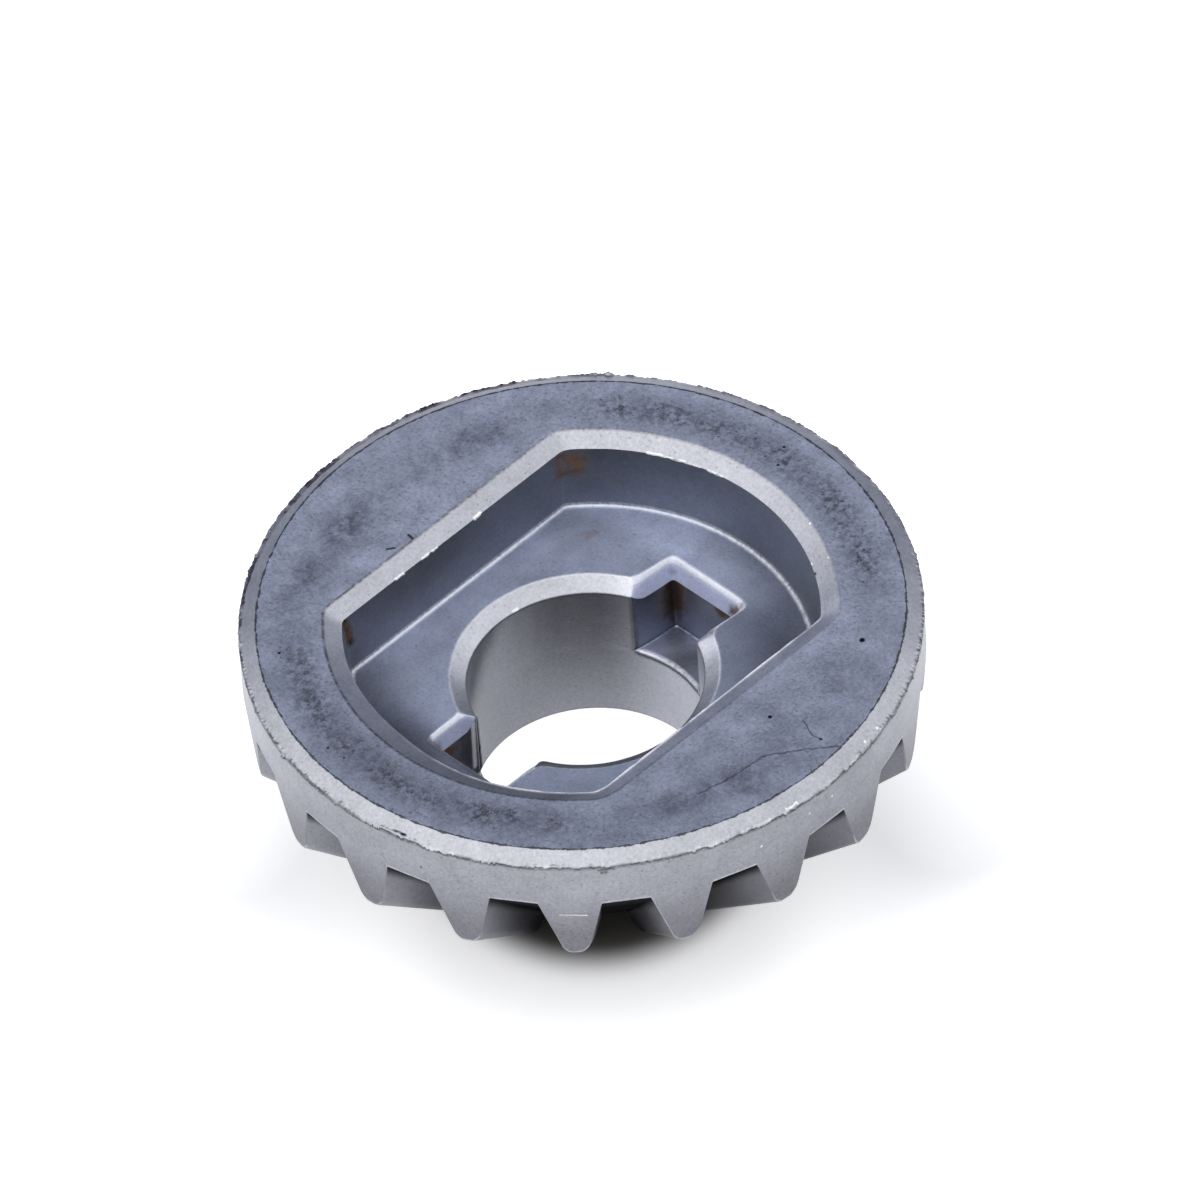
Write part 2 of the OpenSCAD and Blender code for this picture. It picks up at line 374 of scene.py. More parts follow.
# Strips of points round the gear, joined into a mesh; each strip has as many points as the others
def ringMesh(name, strips, finishIds, wears, grimes):
    rowCount, pointCount = len(strips), len(strips[0])
    i, j = np.meshgrid(np.arange(rowCount - 1), np.arange(pointCount), indexing="ij")
    nextJ = (j + 1) % pointCount
    quads = np.stack([i, i, i + 1, i + 1], -1) * pointCount + np.stack([j, nextJ, nextJ, j], -1)
    mesh = bpy.data.meshes.new(name)
    mesh.from_pydata((np.concatenate(strips) * mm).tolist(), [], quads.reshape(-1, 4).tolist())
    mesh.polygons.foreach_set("material_index", np.concatenate(finishIds).astype(np.int32))
    for layerName, values in (("edgeWearSheen", wears), ("grime", grimes)):
        layer = mesh.attributes.new(layerName, "FLOAT", "POINT")
        layer.data.foreach_set("value", np.concatenate(values).astype(np.float32))
    work = bmesh.new()
    work.from_mesh(mesh)
    bmesh.ops.remove_doubles(work, verts=work.verts, dist=2e-6)
    for face in work.faces:
        face.smooth = True
    work.to_mesh(mesh)
    work.free()
    triangles = sum(len(p.vertices) - 2 for p in mesh.polygons)
    print(name + ":", rowCount, "rows,", pointCount, "columns,", triangles, "triangles")
    return mesh


def weaveGear(rows, finishes):
    strips, finishIds, wears, grimes = [], [], [], []
    last = len(rows) - 1
    lines = [row["points"] for row in rows]
    neighbours = zip([lines[0], *lines], lines, [*lines[1:], lines[-1]])
    corners = [cornerStrip(*three, row["setback"], row["bend"]) for three, row in zip(neighbours, rows)]

    def finishOf(row):
        inside, outside = finishes.index(row["finish"]), finishes.index(row["elsewhere"])
        return np.where(onSlot & np.roll(onSlot, -1), inside, outside)

    def put(points, finishRow, wear):
        strips.append(points)
        finishIds.append(finishOf(finishRow))
        wears.append(np.maximum(wear, 0))
        grimes.append(np.maximum(-wear, 0))

    for i, row in enumerate(rows):
        for step, points in enumerate(corners[i]):
            share = step / max(row["bend"] - 1, 1)
            bump = 1 - abs(2 * share - 1) * gear["wearFall"]
            put(points, row if share >= 0.5 or i == 0 else rows[i - 1], row["wear"] * bump)
        if i == last:
            break
        start, finish = corners[i][-1], corners[i + 1][0]
        length = np.maximum(np.linalg.norm(finish - start, axis=1), 1e-9)
        guard = np.minimum(gear["guard"] / length, 0.25)
        inner = [np.full(columnCount, (cut + 1) / (row["cuts"] + 1)) for cut in range(row["cuts"])]
        for share in [guard, *inner, 1 - guard]:
            put(start * (1 - share[:, None]) + finish * share[:, None], row, np.zeros(columnCount))
    mesh = ringMesh("gearSkin", strips, finishIds[:-1], wears, grimes)
    mesh.set_sharp_from_angle(angle=math.radians(gear["sharpAngle"]))
    return mesh


finishNames = ["backFace", "rimChamfer", "rimSkin", "toothSkin", "hubSkin", "bore", "boreChamfer",
               "slotFloor", "slotWall", "slotBevel", "slotMouth", "recessFloor", "recessWall", "mouthChamfer"]
gearSkin = addObject("gear_skin", weaveGear(gearRows(), finishNames))
weighted = gearSkin.modifiers.new("faceNormals", "WEIGHTED_NORMAL")
weighted.keep_sharp = True

# Torn edge between the rim and its chamfer, in millimetres
burr = {
    "columns": 2880,
    "seed": 7,
    "crest": 0.02,  # mean reach of the lip past the rim
    "ragged": 0.012,
    "wander": 0.045,  # how far the edge strays up and down
    "tears": 80,  # torn places all round, and their reach
    "tearReach": 0.11,
    "tearWidth": (0.15, 0.7),
    "faintSide": 227.0,  # polar angle where the line below the lip is faintest
    "dimSide": 47.0,  # and where the lip's wear and painted glints are faintest
    "darkSides": [(314, 34, 0.9), (158, 30, 0.5)],  # where its top is dark too: polar angle, spread, how far
    "worst": [(182, 18, 34), (277, 17, 26), (30, 25, 14)],  # torn most: polar angle, spread, tears
}


def weaveRimEdge():
    outer, count = gear["outer"], burr["columns"]
    angles = np.arange(count) * 2 * math.pi / count
    fine = ragged(angles, burr["seed"], range(90, 1100, 7), 0.4)
    slow = ragged(angles, burr["seed"] + 1, range(6, 90, 3), 0.4)
    wander = ragged(angles, burr["seed"] + 2, range(12, 500, 5), 0.55)
    draw = np.random.default_rng(burr["seed"] + 3)
    torn, lifted = np.zeros(count), np.zeros(count)
    middles = draw.uniform(0, 2 * math.pi, burr["tears"])
    for polar, spread, tears in burr["worst"]:
        middles = np.append(middles, np.radians(draw.normal(polar, spread, tears)))
    for middle in middles:
        width = draw.uniform(*burr["tearWidth"]) / outer
        apart = np.abs(np.mod(angles - middle + math.pi, 2 * math.pi) - math.pi) / width
        shape = np.clip(1 - apart, 0, 1) ** 0.7
        torn += shape * draw.uniform(0.2, 1.0)
        lifted += shape * draw.uniform(-1.0, 0.7)
    crest = np.clip(burr["crest"] + burr["ragged"] * (0.7 * fine + 0.7 * slow), 0.004, None)
    crest = crest + 0.5 * burr["tearReach"] * torn * np.clip(1 + 0.5 * fine, 0, 2)
    drop = burr["wander"] * wander + burr["tearReach"] * lifted * np.clip(1 + 0.4 * fine, 0.2, 2)
    inset, lipDrop = gear["lipInset"], gear["lipDrop"]
    dim = np.clip(0.4 + np.cos(angles - math.radians(burr["dimSide"])), 0, 1)
    dark = 1 - 0.55 * np.clip(np.cos(angles - math.radians(burr["faintSide"])), 0, 1) ** 2
    degrees = np.degrees(angles)
    sideDark = sum(share * bulge(degrees, polar, spread) for polar, spread, share in burr["darkSides"])
    # Wear and painted glints on the torn lip, dimmer on the far side
    bright = np.clip(0.2 + torn, 0, 1) * (1 - 0.9 * dim) * (1 - 0.7 * np.clip(sideDark, 0, 1))
    speckled = dark * np.clip(0.35 + 0.5 * slow, 0, 1)
    flaked = np.clip(speckled + sideDark * np.clip(0.7 + 0.8 * fine, 0, 1), 0, 1)
    sideFlakes = 0.8 * sideDark * np.clip(0.3 + 0.9 * fine, 0, 1)

    def strip(radius, heights):
        radius, heights = np.broadcast_to(radius, count), np.broadcast_to(heights, count)
        return np.column_stack([np.cos(angles) * radius, np.sin(angles) * radius, heights])

    zero, one = np.zeros(count), np.ones(count)
    lines = [
        (strip(outer, edgeZ - lipDrop), zero, zero),
        (strip(outer - 0.005, edgeZ - 0.42 + 0.3 * np.minimum(drop, 0)), zero, zero),
        (strip(outer - 0.025, edgeZ - 0.27 + drop), zero, dark),
        (strip(outer - 0.02 + crest * 0.4, edgeZ - 0.08 + drop - crest * 0.2), zero, one),
        (strip(outer + crest, edgeZ - 0.03 + drop), bright, dark),
        (strip(outer + crest * 0.6 - 0.02, edgeZ + 0.02 + drop + crest * 0.1), bright, flaked),
        (strip(outer - 0.12, edgeZ + 0.12 * chamferSlope + 0.4 * drop), 0.3 * bright, sideFlakes),
        (strip(outer - 0.2, edgeZ + 0.2 * chamferSlope + 0.1 * drop), zero, zero),
        (strip(outer - inset, edgeZ + inset * chamferSlope), zero, zero),
    ]
    rimStrips = 4  # those below the lip have the finish of the rim
    finishIds = [np.full(count, 0 if i < rimStrips else 1) for i in range(len(lines) - 1)]
    strips, wears, grimes = zip(*lines)
    return ringMesh("rimEdge", strips, finishIds, wears, grimes)


rimEdge = addObject("rim_edge", weaveRimEdge())


# Node helpers: all of them add to the tree that was opened last
workTree = None


def openTree(tree):
    global workTree
    workTree = tree


# Sockets take a link or a value
def plug(node, sockets):
    for name, value in sockets.items():
        if isinstance(value, bpy.types.NodeSocket):
            workTree.links.new(value, node.inputs[name])
        else:
            node.inputs[name].default_value = value


def make(kind, sockets=None, **settings):
    made = workTree.nodes.new("ShaderNode" + kind)
    for name, value in settings.items():
        setattr(made, name, value)
    plug(made, sockets or {})
    return made


def calc(operation, *values, clamp=False):
    return make("Math", dict(enumerate(values)), operation=operation, use_clamp=clamp).outputs[0]


def times(*values, clamp=False):
    total = values[0]
    for value in values[1:-1]:
        total = calc("MULTIPLY", total, value)
    return calc("MULTIPLY", total, values[-1], clamp=clamp)


def minus(value, other):
    return calc("SUBTRACT", value, other)


def linear(value, slope, base, clamp=False):
    return calc("MULTIPLY_ADD", value, slope, base, clamp=clamp)


def vector(operation, *values):
    made = make("VectorMath", dict(enumerate(values)), operation=operation)
    return made.outputs["Value" if operation in ("LENGTH", "DOT_PRODUCT") else "Vector"]


def dot(value, other):
    return vector("DOT_PRODUCT", value, other)


def scaled(value, factor):
    return make("VectorMath", {0: value, "Scale": factor}, operation="SCALE").outputs["Vector"]


def fade(value, low, high, lowResult=0.0, highResult=1.0):
    sockets = {"Value": value, "From Min": low, "From Max": high, "To Min": lowResult, "To Max": highResult}
    return make("MapRange", sockets, interpolation_type="SMOOTHSTEP").outputs["Result"]


def blend(mask, below, above):
    below, above = ((*c, 1) if isinstance(c, tuple) else c for c in (below, above))
    return make("Mix", {0: mask, 6: below, 7: above}, data_type="RGBA").outputs[2]


def noise(place, scale, detail=3.0, rough=0.55):
    sockets = {"Vector": place, "Scale": scale, "Detail": detail, "Roughness": rough}
    return make("TexNoise", sockets).outputs[0]


vectorSockets = ("Place", "From", "To")  # the other sockets of the groups hold one number


def group(name, inputs, outputs):
    tree = bpy.data.node_groups.new(name, "ShaderNodeTree")
    for inOut, names in (("INPUT", inputs), ("OUTPUT", outputs)):
        for socketName in names.split():
            kind = "NodeSocketVector" if socketName in vectorSockets else "NodeSocketFloat"
            tree.interface.new_socket(name=socketName, in_out=inOut, socket_type=kind)
    openTree(tree)
    return tree, tree.nodes.new("NodeGroupInput").outputs, tree.nodes.new("NodeGroupOutput")


# Place on the part in millimetres, its radius, its slope from the apex of the tooth cone,
# and its lobe, from 1 at the round ends of the recess to -1 at the flats
def partPlaceGroup():
    tree, _, end = group("partPlace", "", "Place Radius Lobe Cone")
    place = scaled(make("TexCoord").outputs["Object"], 1 / mm)
    parts = make("SeparateXYZ", {0: place}).outputs
    xx, yy = (times(parts[i], parts[i]) for i in (0, 1))
    total = calc("ADD", xx, yy)
    radius = calc("SQRT", total)
    cone = calc("DIVIDE", minus(parts[2], apexZ), radius)
    lobe = calc("DIVIDE", minus(xx, yy), total)
    plug(end, {"Place": place, "Radius": radius, "Cone": cone, "Lobe": lobe})
    return tree


# Grain of pressed powder: fine tone, clouds, pores and a height for bumps
def sinterGrainGroup():
    tree, given, end = group("sinterGrain", "Place", "Fine Speck Cloud Pore Height")
    place = given["Place"]
    fine = noise(place, 4.6, 3.0, 0.65)
    speck = fade(noise(place, 3.4, 4.0, 0.8), 0.52, 0.70)
    cloud = noise(place, 0.42, 5.0, 0.62)
    cells = make("TexVoronoi", {"Vector": place, "Scale": 2.6, "Randomness": 1.0})
    chosen = fade(make("SeparateColor", {0: cells.outputs["Color"]}).outputs[0], 0.45, 0.8)
    pore = times(fade(cells.outputs["Distance"], 0.14, 0.3, 1.0, 0.0), chosen)
    plug(end, {"Fine": fine, "Speck": speck, "Cloud": cloud, "Pore": pore, "Height": minus(fine, pore)})
    return tree


# Worn edges with a painted sheen, and soiled edges, broken up by noise
def rubbedSheenEdgeGroup():
    tree, given, end = group("rubbedSheenEdge", "Place", "Worn Soiled")
    broken = noise(given["Place"], 3.5, 3.0)
    for output, attribute in (("Worn", "edgeWearSheen"), ("Soiled", "grime")):
        amount = make("Attribute", attribute_name=attribute).outputs["Fac"]
        plug(end, {output: times(amount, fade(broken, 0.3, 0.62, 0.35, 1.0), clamp=True)})
    return tree


# Mark along a line between two places, or round one place, with ragged sides
def strokeGroup():
    tree, given, end = group("strokeMark", "Place From To Width Soft Ragged", "Mask")
    wobble = make("TexNoise", {"Vector": given["Place"], "Scale": 2.2, "Detail": 3.0}).outputs["Color"]
    shift = scaled(vector("SUBTRACT", wobble, (0.5, 0.5, 0.5)), given["Ragged"])
    along = vector("SUBTRACT", given["To"], given["From"])
    start = vector("SUBTRACT", vector("ADD", given["Place"], shift), given["From"])
    share = calc("DIVIDE", dot(start, along), dot(along, along), clamp=True)
    apart = vector("LENGTH", vector("SUBTRACT", start, scaled(along, share)))
    outside = linear(given["Width"], given["Soft"], given["Width"])
    inside = minus(times(given["Width"], 2.0), outside)
    plug(end, {"Mask": fade(apart, inside, outside, 1.0, 0.0)})
    return tree


groups = {"place": partPlaceGroup(), "grain": sinterGrainGroup(), "edge": rubbedSheenEdgeGroup(),
          "stroke": strokeGroup()}

# Colours of marks, how far they cover what is below, and how far they scatter light
tints = {
    "pit": ((0.010, 0.010, 0.013), 1.0, 0.0),
    "scratch": ((0.06, 0.065, 0.08), 0.75, 0.0),
    "gouge": ((0.02, 0.022, 0.028), 0.9, 0.0),
    "rust": ((0.10, 0.058, 0.038), 0.9, 1.0),
    "orange": ((0.18, 0.085, 0.036), 0.75, 1.0),
    "crust": ((0.020, 0.014, 0.010), 0.9, 0.5),
    # painted shade: a dark line on the bore wall
    "line": ((0.02, 0.02, 0.023), 0.92, 1.0),
    "stain": ((0.13, 0.08, 0.075), 0.5, 1.0),
    # painted highlight: a pale strip on the slot wall
    "pale": ((0.85, 0.85, 0.88), 0.9, 0.8),
    # chipped edges with a painted white glint
    "chipGlint": ((0.95, 0.95, 0.96), 1.0, 1.0),
    # painted highlight on a chamfer
    "gleam": ((0.72, 0.73, 0.76), 0.8, 1.0),
}
patchyTints = ("rust", "orange")  # on the recess wall

# Marks seen in the photograph, on the part in millimetres: places, half width, softness, raggedness.
# On a flat finish the places have no height of their own.
flatHeights = {"backFace": gear["height"], "recessFloor": floorZ}
marks = {
    "backFace": {
        "pit": [([(10.62, -15.91)], 0.2, 0.3, 0.1), ([(1.39, -16.21)], 0.14, 0.3, 0.1),
                ([(-16.01, 12.65)], 0.11, 0.3, 0.1), ([(2.16, -20.18)], 0.12, 0.4, 0.15),
                ([(-20.15, 4.01)], 0.08, 0.4, 0.1), ([(-20.11, 2.56)], 0.08, 0.4, 0.1),
                ([(20.26, 0.52)], 0.11, 0.4, 0.1), ([(18.77, -0.35)], 0.1, 0.4, 0.1)],
        "scratch": [([(-6.91, -17.52), (-4.13, -18.17), (-1.48, -18.4), (0.59, -19.93), (2.44, -21.48)],
                     0.07, 0.8, 0.35), ([(2.64, -18.06), (2.03, -19.47), (2.16, -20.18)], 0.05, 0.8, 0.2)],
        "gouge": [([(-2.45, 13.3), (-2.35, 13.8)], 0.11, 0.5, 0.15),
                  ([(-3.85, 13.64), (-4.3, 14.0)], 0.08, 0.5, 0.15)],
    },
    "mouthChamfer": {
        "chipGlint": [([(2.15, 12.0, 18.13), (2.65, 12.02, 18.19)], 0.16, 0.4, 0.2),
                 ([(-2.95, 12.0, 18.15), (-2.35, 12.0, 18.15)], 0.11, 0.5, 0.25),
                 ([(-1.95, 12.0, 18.15), (-1.45, 12.0, 18.15)], 0.09, 0.5, 0.25),
                 ([(-5.5, 12.0, 18.15), (-4.7, 12.0, 18.15)], 0.12, 0.5, 0.3),
                 ([(14.18, 7.52, 18.22), (14.62, 6.65, 18.2)], 0.13, 0.4, 0.2),
                 ([(14.67, 6.5, 18.16), (15.13, 5.36, 18.14), (15.57, 3.91, 18.14)], 0.08, 0.5, 0.3),
                 ([(15.7, 3.3, 18.14), (15.9, 2.2, 18.14)], 0.1, 0.5, 0.25),
                 ([(16.05, 0.27, 18.1)], 0.08, 0.5, 0.2), ([(13.91, -8.01, 18.12)], 0.14, 0.4, 0.2),
                 ([(14.73, -8.85, 18.8)], 0.09, 0.5, 0.2), ([(16.24, -5.74, 18.75)], 0.08, 0.5, 0.2)],
        "pit": [([(13.4, -8.85, 18.2)], 0.16, 0.4, 0.25), ([(12.85, -9.61, 17.9)], 0.14, 0.4, 0.25)],
        # painted highlight on the mouth chamfer
        "gleam": [([(15.3, 7.34, 18.75)], 0.14, 0.5, 0.3)],
    },
    "recessWall": {
        "rust": [([(10.3, 11.95, 17.6), (11.35, 11.1, 17.5)], 0.55, 0.7, 1.0),
                 ([(10.2, 11.95, 16.4), (11.3, 11.2, 16.3)], 0.45, 0.9, 1.0)],
        "stain": [([(10.0, 11.95, 16.9), (10.1, 11.9, 16.1)], 0.3, 0.9, 0.8)],
        "crust": [([(-10.5, 11.95, 18.0), (-10.2, 11.9, 15.8)], 0.34, 0.8, 0.6)],
        "orange": [([(10.9, 11.5, 17.3), (11.2, 11.2, 16.7)], 0.35, 0.9, 0.9),
                   ([(10.3, 11.9, 17.0)], 0.22, 0.9, 0.8),
                   ([(-10.35, 11.95, 17.6), (-10.15, 11.9, 16.3)], 0.22, 0.9, 0.7)],
        "chipGlint": [([(2.15, 12.0, 18.1), (2.6, 12.0, 18.14)], 0.12, 0.4, 0.2),
                 ([(-2.95, 12.0, 18.13), (-2.35, 12.0, 18.13)], 0.08, 0.5, 0.25),
                 ([(-1.95, 12.0, 18.13), (-1.45, 12.0, 18.13)], 0.06, 0.5, 0.25),
                 ([(-5.5, 12.0, 18.13), (-4.7, 12.0, 18.13)], 0.08, 0.5, 0.3),
                 ([(14.18, 7.52, 18.14), (14.62, 6.65, 18.14), (15.13, 5.36, 18.12), (15.57, 3.91, 18.12)],
                  0.06, 0.5, 0.25), ([(15.7, 3.3, 18.12), (15.9, 2.2, 18.12)], 0.06, 0.5, 0.25)],
    },
    "recessFloor": {
        "stain": [([(9.3, 8.75), (9.7, 8.5)], 0.34, 0.9, 0.9), ([(9.98, 6.34)], 0.16, 0.9, 0.6)],
    },
    "slotWall": {
        "rust": [([(10.6, 2.9, 11.8), (10.5, 2.9, 9.5)], 0.8, 0.9, 0.7),
                 ([(11.05, 1.9, 11.7), (11.05, 2.1, 9.6)], 0.6, 0.9, 0.7),
                 ([(11.05, -2.9, 12.0), (11.05, -1.9, 11.6)], 0.45, 0.8, 0.6),
                 ([(-10.7, 2.95, 11.7), (-10.0, 2.95, 11.2)], 0.7, 0.8, 0.7)],
        "crust": [([(11.0, 2.85, 11.8), (11.0, 2.85, 8.0)], 0.7, 0.9, 0.6)],
        # painted highlight: a pale strip beside the slot's edge
        "pale": [([(-7.84, 2.95, 12.2), (-7.92, 2.95, 8.2)], 0.2, 0.6, 0.1)],
    },
    "slotBevel": {
        "rust": [([(11.35, -3.6, 12.75), (11.2, -3.0, 12.3)], 0.4, 0.8, 0.5),
                 ([(-11.2, 3.0, 12.3)], 0.4, 0.8, 0.5)],
        "stain": [([(11.2, 2.7, 12.4)], 0.3, 0.8, 0.5)],
    },
    "slotMouth": {
        "rust": [([(11.5, -3.7, 12.9)], 0.3, 0.9, 0.5)],
    },
    "bore": {
        "stain": [([(5.0, 6.25, 10.11)], 0.16, 0.7, 0.3), ([(6.4, 4.8, 11.2)], 0.1, 0.7, 0.3)],
        # painted shade: a dark line down the bore wall beside the slot
        "line": [([(-3.78, 7.05, 6.3), (-3.66, 7.11, 3.5), (-3.56, 7.16, 1.6)], 0.4, 0.5, 0.15)],
    },
    "boreChamfer": {
        "chipGlint": [([(1.3, 7.97, 12.57), (1.6, 7.92, 12.57)], 0.12, 0.5, 0.2)],
        "stain": [([(4.82, -6.44, 13.0)], 0.35, 0.9, 0.5)],
    },
    "toothSkin": {
        "pit": [([(-0.2, -20.9, 11.4)], 0.12, 0.5, 0.1)],
    },
    "rimChamfer": {
        "chipGlint": [([(-3.75, -22.6, 18.35), (-2.85, -22.7, 18.32)], 0.09, 0.6, 0.45),
                 ([(4.17, -22.3, 18.4)], 0.09, 0.5, 0.2), ([(5.65, -22.0, 18.4)], 0.08, 0.5, 0.2)],
        "pit": [([(-22.4, -4.3, 18.3), (-22.2, -5.2, 18.3)], 0.1, 0.6, 0.3)],
    },
    "rimSkin": {
        "chipGlint": [([(-17.54, -14.64, 13.58), (-16.34, -15.97, 13.52)], 0.07, 0.6, 0.1),
                 ([(-0.71, -22.89, 13.68)], 0.08, 0.6, 0.2), ([(-5.89, -22.18, 16.21)], 0.09, 0.6, 0.2),
                 ([(-1.95, -22.87, 16.75)], 0.08, 0.6, 0.2), ([(0.14, -23.0, 16.84)], 0.08, 0.6, 0.2)],
        "scratch": [([(-15.75, -16.75, 17.85), (-15.0, -17.45, 17.85)], 0.09, 0.8, 0.5),
                    ([(-15.6, -16.9, 17.6), (-15.3, -17.15, 17.65)], 0.09, 0.8, 0.5),
                    ([(-22.11, -6.35, 16.01)], 0.1, 0.6, 0.2)],
    },
}

# Looks of the finishes: colour, roughness, strength of grain, dark specks, clouds and pores,
# worn edges with their painted sheen, dirt and bumps, and how far the finish scatters light
plainLook = {"rough": 0.36, "fine": 0.24, "speck": 0.14, "cloud": 0.25, "pore": 0.1,
             "worn": 0.8, "soil": 0.4, "bump": 0.15, "matte": 0.0}


def lookOf(colour, **changes):
    return {**plainLook, "colour": colour, **changes}


# The colours hold painted light and shade on one steel: darker on the recess and slot walls, lighter on the
# slot floors, bevels and mouths
looks = {
    "backFace": lookOf((0.30, 0.325, 0.41), rough=0.44, fine=0.48, speck=0.40, cloud=0.5, pore=0.5,
                       worn=0.0, soil=1.0, bump=0.28),
    "rimChamfer": lookOf((0.43, 0.435, 0.475), fine=0.34, speck=0.12, pore=0.15, soil=0.9),
    "rimSkin": lookOf((0.355, 0.36, 0.40), rough=0.42, fine=0.34, cloud=0.30, pore=0.25, soil=1.0, bump=0.25),
    "toothSkin": lookOf((0.36, 0.365, 0.41), rough=0.42, fine=0.30, cloud=0.30, pore=0.25,
                        soil=0.5, bump=0.25),
    "hubSkin": lookOf((0.38, 0.39, 0.43), rough=0.45, fine=0.30, pore=0.2, worn=0.4, soil=0.5, bump=0.25),
    "bore": lookOf((0.355, 0.366, 0.425), rough=0.40, fine=0.26, speck=0.10, cloud=0.16, pore=0.12,
                   worn=0.2, soil=0.8),
    "boreChamfer": lookOf((0.43, 0.435, 0.475), fine=0.32, speck=0.12, pore=0.25, worn=0.3),
    "slotFloor": lookOf((0.46, 0.49, 0.61), rough=0.38, fine=0.26, speck=0.15, cloud=0.35, pore=0.15,
                        worn=0.9, soil=0.6, bump=0.2),
    "slotWall": lookOf((0.235, 0.25, 0.31), rough=0.45, speck=0.12, cloud=0.3, worn=0.0, soil=0.6, bump=0.2),
    "slotBevel": lookOf((0.50, 0.54, 0.74), speck=0.10, cloud=0.2, worn=0.1, matte=0.9),
    "slotMouth": lookOf((0.66, 0.68, 0.77), rough=0.32, speck=0.10, cloud=0.2, worn=0.4, matte=0.5),
    "recessFloor": lookOf((0.352, 0.39, 0.515), rough=0.48, fine=0.30, cloud=0.36, pore=0.15,
                          soil=0.0, bump=0.2),
    "recessWall": lookOf((0.182, 0.192, 0.218), rough=0.42, fine=0.26, speck=0.10, cloud=0.24,
                         soil=0.0, bump=0.2),
    "mouthChamfer": lookOf((0.425, 0.43, 0.475), fine=0.34, pore=0.25, worn=0.85, soil=1.0),
}
# Colours of pores, of worn edges with their painted sheen, and of dirt
shades = {"pore": (0.05, 0.055, 0.065), "worn": (0.80, 0.81, 0.84), "soil": (0.035, 0.034, 0.036)}

# Porous ring in the middle of the back face, and the dark line where the face meets its chamfer
faceBand = {
    "radius": 19.4,
    "width": 2.2,
    "lobe": (-0.25, 0.4),  # it fades out towards the flats
    "speckle": (0.38, 0.62, 0.2, 1.0),  # noise that breaks it up
    "clouds": (0.34, 0.60, 0.45, 1.0),
    # dark patches: polar angle, radius, reach
    "patches": [(63, 18.2, 1.5), (111, 17.9, 1.4), (242, 19.0, 1.4), (257, 18.2, 1.2), (290, 18.6, 1.6)],
    "patchStrength": 0.55,
    "shade": (0.07, 0.076, 0.094),
    "lineRadius": 21.82,
    "lineWidth": 0.12,
    "lineWobble": 0.22,
    "lineUneven": (0.34, 0.7, 0.15, 1.5),
    "lineShade": (0.075, 0.078, 0.09),
}


def spoke(polar, radius=1.0, height=0.0):
    turn = math.radians(polar)
    return (radius * math.cos(turn), radius * math.sin(turn), height)


def bandMask(placed, grain):
    apart = calc("ABSOLUTE", minus(placed["Radius"], faceBand["radius"]))
    reach = fade(apart, 0.1, faceBand["width"], 1.0, 0.0)
    reach = times(reach, fade(placed["Lobe"], *faceBand["lobe"]))
    for polar, radius, width in faceBand["patches"]:
        spot = spoke(polar, radius, gear["height"])
        off = vector("LENGTH", vector("SUBTRACT", placed["Place"], spot))
        reach = calc("MAXIMUM", reach, fade(off, 0.2, width, faceBand["patchStrength"], 0.0))
    speckle = fade(noise(placed["Place"], 1.9, 5.0, 0.8), *faceBand["speckle"])
    clouds = fade(grain["Cloud"], *faceBand["clouds"])
    return times(reach, times(speckle, clouds), clamp=True)


def lineMask(placed):
    place, width, wobble = placed["Place"], faceBand["lineWidth"], faceBand["lineWobble"]
    middle = linear(noise(place, 1.1, 4.0, 0.7), wobble, faceBand["lineRadius"] - wobble / 2)
    apart = calc("ABSOLUTE", minus(placed["Radius"], middle))
    uneven = fade(noise(place, 1.6, 4.0, 0.7), *faceBand["lineUneven"])
    return fade(calc("DIVIDE", apart, uneven), width * 0.4, width, 1.0, 0.0)


# Dark flakes on the outer part of the rim's chamfer: wide behind, narrow at the sides, none at the near side
flakes = {
    "behind": 47.0,  # polar angle
    "sides": (-5.0, 17.0),  # millimetres towards there
    "inner": (22.92, 22.45),  # radii of their inner side at these places
    "wobble": 0.5,  # how far it strays
    "edge": (-0.04, 0.06),
    "gaps": (0.47, 0.55, 0.36, 0.95),  # noise that breaks them up
    "strength": (-19.0, -12.0),  # they begin between these places
    "left": (-0.5, 0.866, 0),  # they are thickest at this side
    "leftReach": (2.0, 12.0, 0.2, 1.1),
    "shade": (0.07, 0.062, 0.098),
}


def flakeMask(placed):
    place = placed["Place"]
    away = dot(place, spoke(flakes["behind"]))
    rough = minus(noise(place, 1.4, 4.0, 0.7), 0.5)
    inner = linear(rough, flakes["wobble"], fade(away, *flakes["sides"], *flakes["inner"]))
    outside = fade(minus(placed["Radius"], inner), *flakes["edge"])
    gaps = fade(noise(place, 0.5, 3.0, 0.6), *flakes["gaps"])
    more = fade(dot(place, flakes["left"]), *flakes["leftReach"])
    strength = times(more, fade(away, *flakes["strength"]))
    return times(times(outside, gaps), strength, clamp=True)
